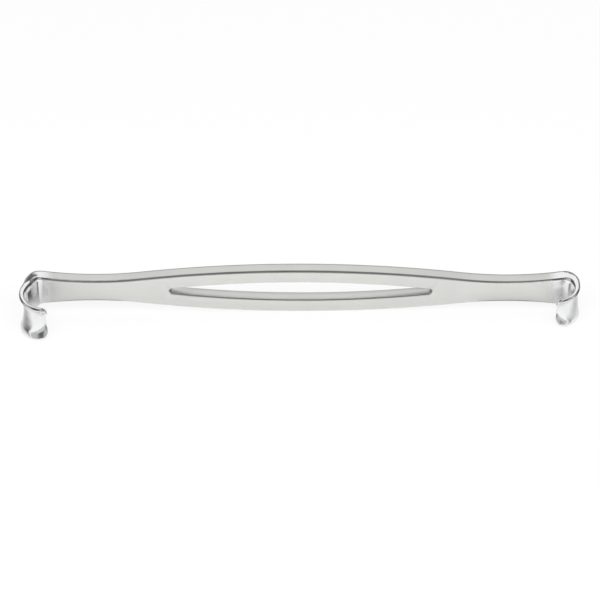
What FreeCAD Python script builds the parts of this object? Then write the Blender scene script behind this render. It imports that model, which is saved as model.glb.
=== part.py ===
import FreeCAD, Part
import math
import os
import Sketcher
from FreeCAD import Placement, Rotation, Vector

# Double-ended handheld retractor, forged in one piece from flat stainless bar. Millimetres and degrees.
# The body is drawn with X along the handle, Z across its width and the broad front face on Y = 0.
# Both hooks turn towards -Y. The finished body is then laid down as it rests on a table.

os.makedirs("parts", exist_ok=True)
doc = FreeCAD.newDocument("retractor")

# Driving sizes
SIZES = [
    ("blade_span", 153.2, "between the outer faces of the two hooks, at mid width"),
    ("bar_thickness", 3.5, "flat bar that the handle is cut from"),
    ("belly_width", 16.6, "handle width at the middle"),
    ("neck_width", 7.9, "handle width at its two narrow necks"),
    ("neck_place", 57.0, "from the middle of the handle to a neck"),
    ("neck_radius", 82.0, "hollow curve of the handle outline through a neck"),
    ("edge_radius", 0.8, "rounding of the long edges"),
    ("slot_length", 72.6, "lens-shaped opening, end to end"),
    ("slot_width", 7.0, "lens-shaped opening at the middle"),
    ("slot_end_radius", 1.0, "round end of the opening"),
    ("slot_edge", 0.5, "bevel of the rim of the opening"),
    ("tip_thickness", 1.3, "hook metal at the tip"),
    ("inner_softening", 0.6, "added rounding of the hooks' edges on their inner side"),
    ("tip_corner", 2.6, "rounded corner of the tip, seen flat"),
    ("tip_edge", 0.4, "rounding of the end face of the tip"),
    ("tip_arch", 68.0, "how far the sides of the saddle turn out at the tip, in degrees"),
    ("deep_blade_width", 14.4, "deep hook: width of the blade, measured flat"),
    ("deep_bend_radius", 2.0, "deep hook: inside radius of the bend"),
    ("deep_blade_turn", 69.0, "deep hook: angle that the bend turns, in degrees"),
    ("deep_blade_length", 4.6, "deep hook: straight part of the blade"),
    ("deep_lip_radius", 2.4, "deep hook: inside radius of the curl"),
    ("deep_lip_turn", 195.0, "deep hook: angle turned by the end of the curl, in degrees"),
    ("deep_lip_length", 1.4, "deep hook: straight part of the lip"),
    ("shallow_blade_width", 12.2, "shallow hook: width of the blade, measured flat"),
    ("shallow_bend_radius", 2.2, "shallow hook: inside radius of the bend"),
    ("shallow_blade_turn", 82.0, "shallow hook: angle that the bend turns, in degrees"),
    ("shallow_blade_length", 0.6, "shallow hook: straight part of the blade"),
    ("shallow_lip_radius", 2.1, "shallow hook: inside radius of the curl"),
    ("shallow_lip_turn", 192.0, "shallow hook: angle turned by the end of the curl, in degrees"),
    ("shallow_lip_length", 1.2, "shallow hook: straight part of the lip"),
]
sheet = doc.addObject("Spreadsheet::Sheet", "Sizes")
for row, (alias, value, meaning) in enumerate(SIZES, 1):
    sheet.set(f"A{row}", alias)
    sheet.set(f"B{row}", str(value))
    sheet.set(f"C{row}", meaning)
    sheet.setAlias(f"B{row}", alias)
doc.recompute()

body = doc.addObject("PartDesign::Body", "handle")
body.Label = "handle"


def origin_plane(role):
    """Origin plane of the body with this role."""
    return next(f for f in body.Origin.OriginFeatures if f.Role == role)


def value_of(formula):
    """Number that a formula of the sheet's sizes gives."""
    result = body.evalExpression(formula)
    return float(getattr(result, "Value", result))


def new_sketch(name, role):
    sketch = body.newObject("Sketcher::SketchObject", name)
    sketch.AttachmentSupport = [(origin_plane(role), "")]
    sketch.MapMode = "FlatFace"
    return sketch


def bind(sketch, name, kind, *args):
    """Add a dimension to a sketch and tie it to a formula, the last of the arguments."""
    *places, formula = args
    index = sketch.addConstraint(Sketcher.Constraint(kind, *places, value_of(formula)))
    sketch.renameConstraint(index, name)
    sketch.setExpression(f"Constraints.{name}", formula)


def join_tangent(sketch, pairs):
    """Join curve ends smoothly. Each pair holds (curve, end, curve, end)."""
    for pair in pairs:
        sketch.addConstraint(Sketcher.Constraint("Tangent", *pair))


def arc(centre, radius, start, end):
    """Arc drawn anticlockwise between two angles in radians."""
    circle = Part.Circle(Vector(centre[0], centre[1], 0), Vector(0, 0, 1), radius)
    return Part.ArcOfCircle(circle, start, end)


def line(a, b):
    return Part.LineSegment(Vector(a[0], a[1], 0), Vector(b[0], b[1], 0))


def edges_where(shape, test):
    """Names of the edges whose middle point passes the test."""
    names = []
    for number, edge in enumerate(shape.Edges, 1):
        middle = edge.valueAt((edge.FirstParameter + edge.LastParameter) / 2)
        if test(edge, middle):
            names.append(f"Edge{number}")
    return names


def dress_edges(kind, name, edges, driver, formula):
    """Round or bevel edges of the body's last feature. The driver is the feature's own name for the size."""
    dressed = body.newObject(f"PartDesign::{kind}", name)
    dressed.Base = (body.Tip if body.Tip != dressed else dressed.BaseFeature, edges)
    dressed.setExpression(driver, formula)
    doc.recompute()


# Handle: belly and two hollow necks, cut square where each hook starts to bend
def handle_outline(deep_root, shallow_root):
    sketch = new_sketch("handle_outline", "XZ_Plane")
    belly, neck = value_of("Sizes.belly_width / 2"), value_of("Sizes.neck_width / 2")
    place, hollow = value_of("Sizes.neck_place"), value_of("Sizes.neck_radius")
    reach = (place ** 2 + (belly - neck) ** 2) / (2 * (belly - neck))
    round_ = reach - hollow
    lean = math.asin(place / reach)
    up, down = math.pi / 2, -math.pi / 2
    left, right = value_of(deep_root), value_of(shallow_root)
    left_lean, right_lean = (math.asin((end - place) / hollow) for end in (left, right))
    left_half, right_half = (neck + hollow * (1 - math.cos(turn)) for turn in (left_lean, right_lean))
    sketch.addGeometry([
        arc((0, belly - round_), round_, up - lean, up + lean),
        arc((-place, neck + hollow), hollow, down - left_lean, down + lean),
        line((-left, left_half), (-left, -left_half)),
        arc((-place, -neck - hollow), hollow, up - lean, up + left_lean),
        arc((0, round_ - belly), round_, down - lean, down + lean),
        arc((place, -neck - hollow), hollow, up - right_lean, up + lean),
        line((right, -right_half), (right, right_half)),
        arc((place, neck + hollow), hollow, down - lean, down + right_lean),
    ], False)
    join_tangent(sketch, [(0, 2, 1, 2), (3, 1, 4, 1), (4, 2, 5, 2), (7, 1, 0, 1)])
    for a, b in [((1, 1), (2, 1)), ((2, 2), (3, 2)), ((5, 1), (6, 1)), ((6, 2), (7, 2))]:
        sketch.addConstraint(Sketcher.Constraint("Coincident", *a, *b))
    for end in (2, 6):
        sketch.addConstraint(Sketcher.Constraint("Vertical", end))
    for curve, like in ((3, 1), (5, 1), (7, 1), (4, 0)):
        sketch.addConstraint(Sketcher.Constraint("Equal", like, curve))
    for a, b, axis in ((1, 3, -1), (7, 5, -1), (1, 7, -2)):
        sketch.addConstraint(Sketcher.Constraint("Symmetric", a, 3, b, 3, axis))
    bind(sketch, "neck_place", "DistanceX", -1, 1, 7, 3, "Sizes.neck_place")
    bind(sketch, "neck_half", "DistanceY", -1, 1, 7, 3, "Sizes.neck_width / 2 + Sizes.neck_radius")
    bind(sketch, "neck_radius", "Radius", 1, "Sizes.neck_radius")
    reach_text = ("((Sizes.neck_place ^ 2 + ((Sizes.belly_width - Sizes.neck_width) / 2) ^ 2)"
                  " / (Sizes.belly_width - Sizes.neck_width))")
    bind(sketch, "belly_radius", "Radius", 0, f"{reach_text} - Sizes.neck_radius")
    bind(sketch, "deep_root", "DistanceX", 2, 1, -1, 1, deep_root)
    bind(sketch, "shallow_root", "DistanceX", -1, 1, 6, 2, shallow_root)
    return sketch


def build_handle(deep, shallow):
    outline = handle_outline(deep.root, shallow.root)
    doc.recompute()
    pad = body.newObject("PartDesign::Pad", "handle_bar")
    pad.Profile = outline
    pad.setExpression("Length", "Sizes.bar_thickness")
    pad.Reversed = True
    outline.Visibility = False
    doc.recompute()
    left, right = value_of(deep.root), value_of(shallow.root)
    long_edges = edges_where(pad.Shape, lambda edge, p: 0.01 - left < p.x < right - 0.01)
    dress_edges("Fillet", "handle_edges", long_edges, "Radius", "Sizes.edge_radius")


# Opening: a lens with round ends, its long sides nearly parallel to the belly
def build_slot():
    sketch = new_sketch("slot_outline", "XZ_Plane")
    half, tall = value_of("Sizes.slot_length / 2"), value_of("Sizes.slot_width / 2")
    small = value_of("Sizes.slot_end_radius")
    centre = half - small
    large = (centre ** 2 + (tall - small) ** 2) / (2 * (tall - small)) + small
    lean = math.asin(centre / (large - small))
    up, down = math.pi / 2, -math.pi / 2
    sketch.addGeometry([
        arc((0, tall - large), large, up - lean, up + lean),
        arc((-centre, 0), small, up + lean, 3 * up - lean),
        arc((0, large - tall), large, down - lean, down + lean),
        arc((centre, 0), small, lean - up, up - lean),
    ], False)
    join_tangent(sketch, [(0, 2, 1, 1), (1, 2, 2, 1), (2, 2, 3, 1), (3, 2, 0, 1)])
    for curve, axis in ((0, -2), (1, -1), (3, -1)):
        sketch.addConstraint(Sketcher.Constraint("PointOnObject", curve, 3, axis))
    sketch.addConstraint(Sketcher.Constraint("Equal", 1, 3))
    sketch.addConstraint(Sketcher.Constraint("Equal", 0, 2))
    bind(sketch, "end_radius", "Radius", 1, "Sizes.slot_end_radius")
    bind(sketch, "end_centre", "DistanceX", 1, 3, -1, 1, "Sizes.slot_length / 2 - Sizes.slot_end_radius")
    far = "(Sizes.slot_length / 2 - Sizes.slot_end_radius)"
    rise = "(Sizes.slot_width / 2 - Sizes.slot_end_radius)"
    bind(sketch, "side_radius", "Radius", 0,
         f"({far} ^ 2 + {rise} ^ 2) / (2 * {rise}) + Sizes.slot_end_radius")
    doc.recompute()
    pocket = body.newObject("PartDesign::Pocket", "slot")
    pocket.Profile = sketch
    pocket.Type = "ThroughAll"
    pocket.Midplane = True
    sketch.Visibility = False
    doc.recompute()
    inside = value_of("Sizes.slot_width / 2") + 0.01
    reach = half + 0.01
    faces = (0.0, value_of("Sizes.bar_thickness"))

    def on_rim(edge, p):
        on_face = min(abs(p.y - face) for face in faces) < 1e-3
        return on_face and abs(p.z) < inside and abs(p.x) < reach

    dress_edges("Chamfer", "slot_rim", edges_where(pocket.Shape, on_rim), "Size", "Sizes.slot_edge")


# Sides and corner arcs of a hook's section, in the order in which they are drawn
TOP, OUTER_TOP, OUTER, OUTER_FOOT, FOOT, INNER_FOOT, INNER, INNER_TOP = range(8)


class Hook:
    """Route and sections of one hook. Lengths along the route and turns are formulas of the sheet's sizes."""

    def __init__(self, name, side, count):
        self.name, self.side, self.count = name, side, count
        self.bend = f"Sizes.{name}_bend_radius"
        self.blade_turn = f"Sizes.{name}_blade_turn"
        self.blade = f"Sizes.{name}_blade_length"
        self.curl = f"Sizes.{name}_lip_radius"
        self.lip_turn = f"Sizes.{name}_lip_turn"
        self.lip = f"Sizes.{name}_lip_length"
        bend_way = f"(({self.bend} + Sizes.bar_thickness / 2) * {self.blade_turn} * pi / 180)"
        curl_rate = f"(({self.curl} + Sizes.tip_thickness / 2) * pi / 180)"
        curl_way = f"({curl_rate} * ({self.lip_turn} - {self.blade_turn}))"
        self.lengths = [bend_way, self.blade, curl_way, self.lip]
        self.total = "(" + " + ".join(self.lengths) + ")"
        self.blade_end = f"({bend_way} + {self.blade})"
        outmost = f"({self.blade_end} + {curl_rate} * (90 - {self.blade_turn}))"
        reach = (f"{self.bend} * sin({self.blade_turn} * 1deg) + {self.blade} * cos({self.blade_turn} * 1deg)"
                 f" + {self.curl} * (1 - sin({self.blade_turn} * 1deg))")
        self.root = f"(Sizes.blade_span / 2 - {self.thickness(outmost)} - ({reach}))"

    def thickness(self, way):
        """The metal keeps the bar's thickness at the root and is drawn out thinner towards the tip."""
        return (f"(Sizes.tip_thickness + (Sizes.bar_thickness - Sizes.tip_thickness)"
                f" * (1 + cos(min(180; 240 * {way} / {self.total}) * 1deg)) / 2)")

    def softening(self, way):
        """How much the edges on the inner side, which press on tissue, are rounded more than the handle's."""
        return f"(Sizes.inner_softening * min(1; 4 * {way} / {self.total}))"

    def inset(self, way):
        """How far both faces of the metal draw in where the rim of the tip is rounded."""
        left = f"max(0; Sizes.tip_edge - ({self.total} - {way}))"
        return f"(Sizes.tip_edge - sqrt(Sizes.tip_edge ^ 2 - ({left}) ^ 2))"

    def arch(self, way):
        """Half angle of the saddle's arch, growing towards the tip."""
        return f"(Sizes.tip_arch * ({way} / {self.total}) ^ 2.4)"

    def half_width(self, way):
        """Half of the width measured flat: the handle's outline runs on smoothly to the blade's full width."""
        off = f"({self.root} - Sizes.neck_place)"
        flank = f"sqrt(Sizes.neck_radius ^ 2 - {off} ^ 2)"
        root = f"(Sizes.neck_width / 2 + Sizes.neck_radius - {flank})"
        full = f"(Sizes.{self.name}_blade_width / 2)"
        along = f"min(1; {way} / {self.blade_end})"
        lean = f"({off} / {flank} * {self.blade_end} * {along} * (1 - {along}) ^ 2)"
        grown = f"({root} + ({full} - {root}) * {along} ^ 2 * (3 - 2 * {along}) + {lean})"
        left = f"max(0; Sizes.tip_corner - ({self.total} - {way}))"
        return f"({grown} - Sizes.tip_corner + sqrt(Sizes.tip_corner ^ 2 - ({left}) ^ 2))"

    def on_bend(self, share):
        turn = f"({share} * {self.blade_turn})"
        x = f"{self.root} + {self.bend} * sin({turn} * 1deg)"
        depth = f"{self.bend} * (1 - cos({turn} * 1deg))"
        return x, depth, turn

    def on_blade(self, share):
        x, depth, turn = self.on_bend("1")
        x = f"{x} + {share} * {self.blade} * cos({turn} * 1deg)"
        depth = f"{depth} + {share} * {self.blade} * sin({turn} * 1deg)"
        return x, depth, turn

    def on_curl(self, share):
        x, depth, start = self.on_blade("1")
        turn = f"({start} + {share} * ({self.lip_turn} - {start}))"
        x = f"{x} + {self.curl} * (sin({turn} * 1deg) - sin({start} * 1deg))"
        depth = f"{depth} + {self.curl} * (cos({start} * 1deg) - cos({turn} * 1deg))"
        return x, depth, turn

    def on_lip(self, share):
        x, depth, turn = self.on_curl("1")
        x = f"{x} + {share} * {self.lip} * cos({turn} * 1deg)"
        depth = f"{depth} + {share} * {self.lip} * sin({turn} * 1deg)"
        return x, depth, turn

    def station(self, way):
        """Place and turn of the route at a length along it, from the stretch that holds it."""
        stretches = [self.on_bend, self.on_blade, self.on_curl, self.on_lip]
        before = "0"
        for stretch, length in zip(stretches, self.lengths):
            if value_of(way) <= value_of(f"{before} + {length}") + 1e-6:
                break
            before = f"{before} + {length}"
        return stretch(f"(({way} - ({before})) / {length})")

    def place(self, sketch, x, depth, turn):
        """Stand a section across the route. In it, x points to the outside of the hook and y up the width."""
        sketch.AttachmentOffset = Placement(Vector(), Rotation(Vector(0, -self.side, 0), value_of(turn)))
        sketch.setExpression("AttachmentOffset.Base.x", f"-({depth})")
        sketch.setExpression("AttachmentOffset.Base.z", f"{self.side} * ({x})")
        if value_of(turn):
            sketch.setExpression("AttachmentOffset.Rotation.Angle", turn)

    def arched_section(self, name, x, depth, turn, way):
        """Section of the saddle: two arcs round one centre on the outside, with rounded edges."""
        sketch = new_sketch(name, "YZ_Plane")
        half, arch, inset = self.half_width(way), self.arch(way), self.inset(way)
        thick = f"({self.thickness(way)} - 2 * {inset})"
        middle = f"({half} / ({arch} * pi / 180))"
        corner = f"min(Sizes.edge_radius; 0.3 * {thick})"
        soft = f"min(Sizes.edge_radius + {self.softening(way)}; 0.6 * {thick})"
        inner, outer = f"({middle} + {thick} / 2)", f"({middle} - {thick} / 2)"
        leg = f"sqrt(({inner} - {soft}) ^ 2 - {soft} ^ 2)"
        big, low = value_of(inner), value_of(outer)
        far = big + value_of(inset)
        r, s, a, pi = value_of(corner), value_of(soft), math.radians(value_of(arch)), math.pi

        def polar(radius, angle):
            return far - radius * math.cos(angle), radius * math.sin(angle)

        big_leg, low_leg = value_of(leg), math.sqrt((low + r) ** 2 - r ** 2)
        b, c = a - math.asin(s / (big - s)), a - math.asin(r / (low + r))
        sketch.addGeometry([
            line(polar(big_leg, a), polar(low_leg, a)),
            arc(polar(low + r, c), r, -c, pi / 2 - a),
            arc((far, 0), low, pi - c, pi + c),
            arc(polar(low + r, -c), r, a - pi / 2, c),
            line(polar(low_leg, -a), polar(big_leg, -a)),
            arc(polar(big - s, -b), s, pi + b, 3 * pi / 2 + a),
            arc((far, 0), big, pi - b, pi + b),
            arc(polar(big - s, b), s, pi / 2 - a, pi - b),
        ], False)
        join_tangent(sketch, [(TOP, 2, OUTER_TOP, 2), (OUTER_TOP, 1, OUTER, 1),
                              (OUTER, 2, OUTER_FOOT, 2), (OUTER_FOOT, 1, FOOT, 1),
                              (FOOT, 2, INNER_FOOT, 2), (INNER_FOOT, 1, INNER, 2),
                              (INNER, 1, INNER_TOP, 2), (INNER_TOP, 1, TOP, 1)])
        sketch.addConstraint(Sketcher.Constraint("Coincident", INNER, 3, OUTER, 3))
        sketch.addConstraint(Sketcher.Constraint("PointOnObject", INNER, 3, -1))
        for end in (TOP, FOOT):
            sketch.addConstraint(Sketcher.Constraint("PointOnObject", INNER, 3, end))
        for top, foot in ((OUTER_TOP, OUTER_FOOT), (INNER_TOP, INNER_FOOT)):
            sketch.addConstraint(Sketcher.Constraint("Equal", top, foot))
        sketch.addConstraint(Sketcher.Constraint("Vertical", TOP, 1, FOOT, 2))
        bind(sketch, "centre", "DistanceX", -1, 1, INNER, 3, f"{inner} + {inset}")
        bind(sketch, "inner_radius", "Radius", INNER, inner)
        bind(sketch, "outer_radius", "Radius", OUTER, outer)
        bind(sketch, "outer_corner", "Radius", OUTER_TOP, corner)
        bind(sketch, "inner_corner", "Radius", INNER_TOP, soft)
        bind(sketch, "arch", "DistanceY", FOOT, 2, TOP, 1, f"2 * {leg} * sin({arch} * 1deg)")
        self.place(sketch, x, depth, turn)
        return sketch

    def build(self):
        """Loft the hook from the handle's end face. Sections stand closer together towards the tip."""
        root = value_of(self.root)
        faces = [f"Face{number}" for number, face in enumerate(body.Tip.Shape.Faces, 1)
                 if abs(face.CenterOfMass.x - self.side * root) < 0.01]
        end = doc.addObject("PartDesign::SubShapeBinder", f"{self.name}_root_face")
        end.Support = [(body.Tip, tuple(faces))]
        sections = []
        for number in range(1, self.count + 1):
            share = 1 - (1 - number / self.count) ** 1.6
            way = f"({share:.4f} * {self.total})"
            name = f"{self.name}_section_{number}"
            sections.append(self.arched_section(name, *self.station(way), way))
        doc.recompute()
        loft = doc.addObject("Part::Loft", f"{self.name}_hook")
        loft.Sections = [end, *sections]
        loft.Solid = True
        loft.MaxDegree = 2
        for item in loft.Sections:
            item.Visibility = False
        doc.recompute()
        return loft


def check_document():
    """Stop if any feature failed or gave no sound shape."""
    for item in doc.Objects:
        bad = [state for state in item.State if state in ("Invalid", "Error")]
        if bad:
            print(item.Label, bad, item.getStatusString())
            raise RuntimeError(f"{item.Label} is {bad}")
        shape = getattr(item, "Shape", None)
        if item.isDerivedFrom("Part::Feature") and (shape.isNull() or not shape.isValid()):
            raise RuntimeError(f"{item.Label} has no sound shape")


# Rest: the handle's belly and the two hooks touch the table, which sets the tilt
def lay_down(shape):
    """Placement in which the middle and both hooks reach the same lowest level, centred over the origin."""
    points = shape.tessellate(0.02)[0]
    far = value_of("Sizes.neck_place")
    groups = [[p for p in points if p.x < -far], [p for p in points if abs(p.x) < far],
              [p for p in points if p.x > far]]
    roll, pitch = 0.0, 0.0
    for _ in range(20):
        turned = Rotation(Vector(0, 1, 0), pitch).multiply(Rotation(Vector(1, 0, 0), roll))
        low = [min((turned.multVec(p) for p in group), key=lambda p: p.z) for group in groups]
        left, middle, right = low
        pitch += math.degrees((right.z - left.z) / (right.x - left.x))
        hooks_low, hooks_y = (left.z + right.z) / 2, (left.y + right.y) / 2
        roll += math.degrees((middle.z - hooks_low) / (hooks_y - middle.y))
    turned = Rotation(Vector(0, 1, 0), pitch).multiply(Rotation(Vector(1, 0, 0), roll))
    moved = [turned.multVec(p) for p in points]
    span = [(min(p[i] for p in moved), max(p[i] for p in moved)) for i in range(3)]
    shift = Vector(-sum(span[0]) / 2, -sum(span[1]) / 2, -span[2][0])
    return Placement(shift, turned)


hooks = [Hook("deep", -1, 10), Hook("shallow", 1, 9)]
build_handle(*hooks)
build_slot()
retractor = doc.addObject("Part::MultiFuse", "retractor")
retractor.Label = "retractor"
retractor.Shapes = [body, *(hook.build() for hook in hooks)]
doc.recompute()
check_document()
retractor.Placement = lay_down(retractor.Shape.copy())
doc.recompute()
retractor.Shape.exportStep("parts/retractor.step")
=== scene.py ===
import bpy
import math
from mathutils import Matrix, Vector


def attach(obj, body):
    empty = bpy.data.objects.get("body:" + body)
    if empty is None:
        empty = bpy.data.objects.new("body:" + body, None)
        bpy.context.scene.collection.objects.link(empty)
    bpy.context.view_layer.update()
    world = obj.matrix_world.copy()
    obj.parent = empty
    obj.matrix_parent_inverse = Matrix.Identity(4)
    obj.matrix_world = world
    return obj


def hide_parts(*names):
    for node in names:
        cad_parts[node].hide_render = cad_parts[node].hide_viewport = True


# Double-ended handheld retractor in stainless steel: satin handle, polished hooks. Metres and degrees.

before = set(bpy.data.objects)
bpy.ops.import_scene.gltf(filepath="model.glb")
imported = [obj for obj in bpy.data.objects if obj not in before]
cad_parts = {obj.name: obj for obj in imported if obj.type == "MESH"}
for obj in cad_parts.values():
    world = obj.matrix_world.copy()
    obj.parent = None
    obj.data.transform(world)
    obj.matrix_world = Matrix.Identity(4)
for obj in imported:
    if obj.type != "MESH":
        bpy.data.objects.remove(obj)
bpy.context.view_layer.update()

# Camera: long lens, from the front and above, turned a little about its own axis
CAMERA_DISTANCE = 1.5
CAMERA_ELEVATION = 35.9
CAMERA_AZIMUTH = 0.5
CAMERA_ROLL = -0.8
FRAME_WIDTH = 0.1664
SENSOR = 36.0
HANDLE_FRONT = Vector((0.0, 0.0043, 0.0080))
FRAME_DROP = 8 / 600 * FRAME_WIDTH

# Retractor: where the handle meets the hooks, where the satin finish gives way to the polish, the angle
# past which an edge stays sharp, and how close together points are merged
HANDLE_ENDS = (-0.0700, 0.0710)
FINISH_CHANGE = (0.0680, 0.0720)
SHARP_EDGE = 35
MERGE_DISTANCE = 0.000002

# Steel: satin grain drawn out along the handle, and a faint cloud over the whole surface
GRAIN_SCALE = (60, 5000, 5000)
GRAIN_STRENGTH = 0.25
GRAIN_DEPTH = 0.00001
CLOUD_SCALE = 120.0
POLISH_ROUGHNESS = 0.13
SATIN_ROUGHNESS = 0.17
GRAIN_ROUGHNESS = 0.10
CLOUD_ROUGHNESS = 0.04

# Overhead light: how far it leans back from straight up, then where its edge starts to fade and ends,
# off its middle, across (along Y) and lengthwise (along X)
LIGHT_LEAN = 24
LIGHT_ACROSS = (21, 29)
LIGHT_LENGTHWISE = (30, 42)

# Dark room: where its grey parts fade in or out, as the share of the direction that points to the front,
# up in front, to the back, up at the back, and to either side in front
FRONT = (0.0, 0.3)
FRONT_HEIGHT = (0.12, 0.24)
BACK = (0.3, 0.8)
BACK_HEIGHT = (0.25, 0.5)
SIDES = (0.25, 0.6)

# Lamp for the table, on the viewer's side, so that the shadow falls behind the object
LAMP_LEAN = -38
LAMP_DISTANCE = 1.0
LAMP_POWER = 11.8
LAMP_LENGTH = 1.2
LAMP_WIDTH = 0.6

# Table: its size, and the share of its colour that the camera sees without shading
TABLE_SIZE = 12.0
TABLE_GLOW = 0.85

# Where the table fades into the dark room in reflections: behind, in front and beside the object, and over
# which stretch in front the fade beside it sets in
TABLE_BACK = (0.03, 0.07)
TABLE_FRONT = (0.05, 0.11)
TABLE_LONG = (0.0775, 0.0865)
TABLE_CORNER = (-0.013, -0.010)

# Painted shade: a dark patch on the table under and behind the necks, seen only in reflections and not cast
# by the necks
PAINTED_SHADE_ACROSS = (0.0027, 0.0039)
PAINTED_SHADE_START = (0.048, 0.052)
PAINTED_SHADE_END = (0.061, 0.073)

# Linear colours
STEEL = (0.74, 0.745, 0.715, 1)
STEEL_SHADE = (0.69, 0.695, 0.67, 1)
POLISHED = (0.86, 0.865, 0.86, 1)
WHITE = (1, 1, 1, 1)
TABLE_MATT = (0.9, 0.9, 0.9, 1)
ROOM_DARK = (0.10, 0.10, 0.105, 1)
ROOM_SIDE = (0.55, 0.55, 0.56, 1)
ROOM_LOW = (0.74, 0.74, 0.75, 1)
ROOM_BACK = (0.45, 0.45, 0.455, 1)


class Wire:
    """Value leaving a shader node, open to plain arithmetic."""

    def __init__(self, tree, socket):
        self.tree, self.socket = tree, socket

    def math(self, operation, *values):
        return add_node(self.tree, "ShaderNodeMath", {"operation": operation}, *values)

    def __add__(self, other):
        return self.math("ADD", self, other)

    def __sub__(self, other):
        return self.math("SUBTRACT", self, other)

    def __rsub__(self, other):
        return self.math("SUBTRACT", other, self)

    def __mul__(self, other):
        return self.math("MULTIPLY", self, other)

    def __truediv__(self, other):
        return self.math("DIVIDE", self, other)

    def __abs__(self):
        return self.math("ABSOLUTE", self)

    __radd__, __rmul__ = __add__, __mul__

    def or_more(self, other):
        """The larger of the two."""
        return self.math("MAXIMUM", self, other)

    def between(self, low, high):
        """0 below low, 1 above high, smooth between them."""
        smooth = {"interpolation_type": "SMOOTHSTEP"}
        return add_node(self.tree, "ShaderNodeMapRange", smooth, self, low, high)


def add_node(tree, kind, settings, *values, output=0, **named):
    """Add a node: its settings first, then the values or links of its sockets, in order or by name."""
    node = tree.nodes.new(kind)
    for name, value in settings.items():
        setattr(node, name, value)
    sockets = list(zip(node.inputs, values)) + [(node.inputs[name], value) for name, value in named.items()]
    for socket, value in sockets:
        if isinstance(value, Wire):
            tree.links.new(value.socket, socket)
        elif value is not None:
            socket.default_value = value
    return Wire(tree, node.outputs[output]) if node.outputs else None


def mix_colour(tree, factor, first, second):
    """Blend from the first colour to the second."""
    node = tree.nodes.new("ShaderNodeMix")
    node.data_type = "RGBA"
    for index, value in ((0, factor), (6, first), (7, second)):
        if isinstance(value, Wire):
            tree.links.new(value.socket, node.inputs[index])
        else:
            node.inputs[index].default_value = value
    return Wire(tree, node.outputs[2])


def new_material(name):
    material = bpy.data.materials.new(name)
    material.use_nodes = True
    material.node_tree.nodes.clear()
    return material, material.node_tree


def stainless_steel():
    """Handle ground to a satin finish along its length, hooks polished."""
    material, tree = new_material("stainless_steel")
    place = add_node(tree, "ShaderNodeTexCoord", {}, output=3)
    along = add_node(tree, "ShaderNodeSeparateXYZ", {}, place)
    hook = abs(along).between(*FINISH_CHANGE)
    satin = 1 - hook
    grain_place = add_node(tree, "ShaderNodeMapping", {}, place, Scale=GRAIN_SCALE)
    grain = add_node(tree, "ShaderNodeTexNoise", {}, grain_place, Scale=1.0, Detail=3.0, Roughness=0.6)
    cloud = add_node(tree, "ShaderNodeTexNoise", {}, place, Scale=CLOUD_SCALE, Detail=2.0)
    shade = mix_colour(tree, cloud, STEEL, STEEL_SHADE)
    colour = mix_colour(tree, hook, shade, POLISHED)
    ground = satin * (SATIN_ROUGHNESS + grain * GRAIN_ROUGHNESS)
    roughness = POLISH_ROUGHNESS + ground + cloud * CLOUD_ROUGHNESS
    bump = add_node(tree, "ShaderNodeBump", {}, Strength=GRAIN_STRENGTH, Distance=GRAIN_DEPTH,
                    Height=grain * satin)
    shader = add_node(tree, "ShaderNodeBsdfPrincipled", {}, Metallic=1.0, Roughness=roughness, Normal=bump,
                      **{"Base Color": colour})
    add_node(tree, "ShaderNodeOutputMaterial", {}, shader)
    return material


# Studio: white table under a long soft light in a dark room
def floor():
    """White to the camera, with a share of the real shading so that a shadow stays. Reflections see the real
    shading near the object, the dark room farther out, and painted shade under and behind the necks."""
    material, tree = new_material("floor_white")
    path = tree.nodes.new("ShaderNodeLightPath")
    camera_ray, glossy_ray = (Wire(tree, path.outputs[name]) for name in ("Is Camera Ray", "Is Glossy Ray"))
    place = add_node(tree, "ShaderNodeTexCoord", {}, output=3)
    along = abs(add_node(tree, "ShaderNodeSeparateXYZ", {}, place))
    across = add_node(tree, "ShaderNodeSeparateXYZ", {}, place, output=1)
    beside = along.between(*TABLE_LONG) * across.between(*TABLE_CORNER)
    far = across.between(*TABLE_BACK) + (across * -1).between(*TABLE_FRONT)
    # Painted shade under and behind the necks, for reflections only: the dark room's colour stands in for a
    # shadow
    shade = across.between(*PAINTED_SHADE_ACROSS) * along.between(*PAINTED_SHADE_START) * (1 - along.between(*PAINTED_SHADE_END))
    table_fade_and_painted_shade = beside.or_more(far).or_more(shade)
    matt = add_node(tree, "ShaderNodeBsdfDiffuse", {}, TABLE_MATT)
    glow = add_node(tree, "ShaderNodeEmission", {}, WHITE, 1.0)
    dark = add_node(tree, "ShaderNodeEmission", {}, ROOM_DARK, 1.0)
    seen = add_node(tree, "ShaderNodeMixShader", {}, camera_ray * TABLE_GLOW, matt, glow)
    fading = add_node(tree, "ShaderNodeMixShader", {}, glossy_ray * table_fade_and_painted_shade, seen, dark)
    add_node(tree, "ShaderNodeOutputMaterial", {}, fading)
    bpy.ops.mesh.primitive_plane_add(size=TABLE_SIZE)
    plane = bpy.context.object
    plane.name = "floor"
    plane.data.materials.append(material)


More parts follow.
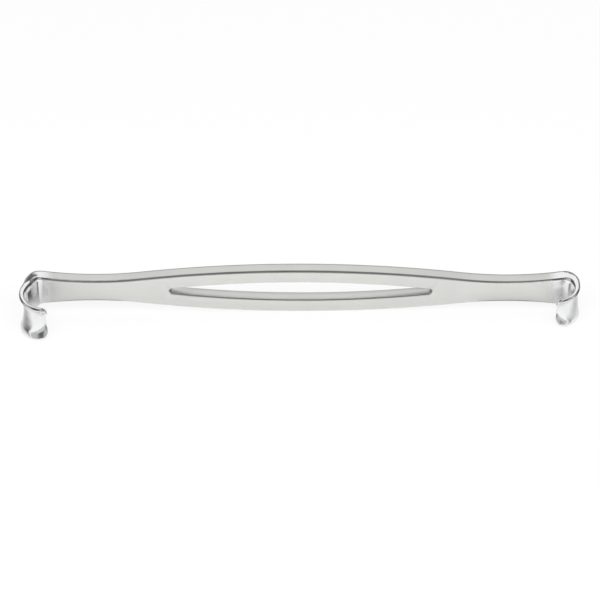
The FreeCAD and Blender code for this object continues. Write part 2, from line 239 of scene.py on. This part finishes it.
def world_light():
    """Dark room with grey parts, and a long soft light overhead; white to the camera."""
    world = bpy.data.worlds.new("studio")
    world.use_nodes = True
    tree = world.node_tree
    tree.nodes.clear()
    way = add_node(tree, "ShaderNodeTexCoord", {})

    def towards(*axis):
        """Share of the direction that points along an axis."""
        return add_node(tree, "ShaderNodeVectorMath", {"operation": "DOT_PRODUCT"}, way, axis, output=1)

    sideways, up = towards(1, 0, 0), towards(0, 0, 1)
    lean = math.radians(LIGHT_LEAN)
    ahead = towards(0, math.sin(lean), math.cos(lean))
    back_edge = towards(0, math.cos(lean), -math.sin(lean))
    lit = ahead.between(0.0, 0.1)
    for side, fade in ((back_edge, LIGHT_ACROSS), (sideways, LIGHT_LENGTHWISE)):
        full, end = (math.tan(math.radians(angle)) for angle in fade)
        lit = lit * (1 - abs(side / ahead.or_more(0.01)).between(full, end))
    front = towards(0, -1, 0).between(*FRONT)
    low = mix_colour(tree, front * (1 - up.between(*FRONT_HEIGHT)), ROOM_DARK, ROOM_LOW)
    behind = towards(0, 1, 0).between(*BACK) * (1 - up.between(*BACK_HEIGHT))
    back = mix_colour(tree, behind, low, ROOM_BACK)
    room = mix_colour(tree, front * abs(sideways).between(*SIDES), back, ROOM_SIDE)
    camera_ray = add_node(tree, "ShaderNodeLightPath", {})
    colour = mix_colour(tree, lit.or_more(camera_ray), room, WHITE)
    sky = add_node(tree, "ShaderNodeBackground", {}, colour, 1.0)
    add_node(tree, "ShaderNodeOutputWorld", {}, sky)
    bpy.context.scene.world = world


def table_lamp():
    """Soft lamp for the table alone: the steel doesn't reflect it."""
    data = bpy.data.lights.new("table_lamp", "AREA")
    data.shape = "RECTANGLE"
    data.size, data.size_y = LAMP_LENGTH, LAMP_WIDTH
    data.energy = LAMP_POWER
    lamp = bpy.data.objects.new("table_lamp", data)
    lean = math.radians(LAMP_LEAN)
    lamp.location = (0, LAMP_DISTANCE * math.sin(lean), LAMP_DISTANCE * math.cos(lean))
    lamp.rotation_euler = (-lean, 0, 0)
    lamp.visible_glossy = False
    lamp.visible_camera = False
    bpy.context.collection.objects.link(lamp)


def camera():
    """Camera at its distance from the handle's front face, which lies a little above the picture's middle."""
    lens = bpy.data.cameras.new("camera")
    lens.sensor_width = SENSOR
    lens.lens = SENSOR * CAMERA_DISTANCE / FRAME_WIDTH
    lens.clip_end = 20
    holder = bpy.data.objects.new("camera", lens)
    turn, rise = math.radians(CAMERA_AZIMUTH), math.radians(CAMERA_ELEVATION)
    away = Vector((math.sin(turn) * math.cos(rise), -math.cos(turn) * math.cos(rise), math.sin(rise)))
    facing = away.to_track_quat("Z", "Y").to_matrix().to_4x4()
    up = facing.col[1].to_3d()
    aim = HANDLE_FRONT - up * FRAME_DROP
    rolled = Matrix.Rotation(math.radians(CAMERA_ROLL), 4, "Z")
    holder.matrix_world = Matrix.Translation(aim + away * CAMERA_DISTANCE) @ facing @ rolled
    bpy.context.collection.objects.link(holder)
    bpy.context.scene.camera = holder


def smooth_retractor():
    """The forged piece from the frame's own solid, shaded smooth. On the handle, the large faces set the
    shading, so that they look flat up to the rounded edges."""
    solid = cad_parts["retractor"]
    bpy.ops.object.select_all(action="DESELECT")
    mesh = solid.data.copy()
    mesh.name = "retractor_steel"
    piece = bpy.data.objects.new("retractor_steel", mesh)
    bpy.context.collection.objects.link(piece)
    piece.select_set(True)
    bpy.context.view_layer.objects.active = piece
    bpy.ops.object.mode_set(mode="EDIT")
    bpy.ops.mesh.select_all(action="SELECT")
    bpy.ops.mesh.remove_doubles(threshold=MERGE_DISTANCE)
    bpy.ops.object.mode_set(mode="OBJECT")
    bpy.ops.object.shade_smooth_by_angle(angle=math.radians(SHARP_EDGE))
    handle = piece.vertex_groups.new(name="handle")
    handle.add([point.index for point in mesh.vertices
                if HANDLE_ENDS[0] < point.co.x < HANDLE_ENDS[1]], 1.0, "ADD")
    bpy.ops.object.modifier_add(type="WEIGHTED_NORMAL")
    weighting = piece.modifiers[-1]
    weighting.keep_sharp = True
    weighting.vertex_group = "handle"
    bpy.ops.object.modifier_apply(modifier=weighting.name)
    mesh.materials.clear()
    mesh.materials.append(stainless_steel())
    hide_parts("retractor")
    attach(piece, "root")


smooth_retractor()
floor()
world_light()
table_lamp()
camera()
bpy.context.scene.view_settings.view_transform = "Standard"
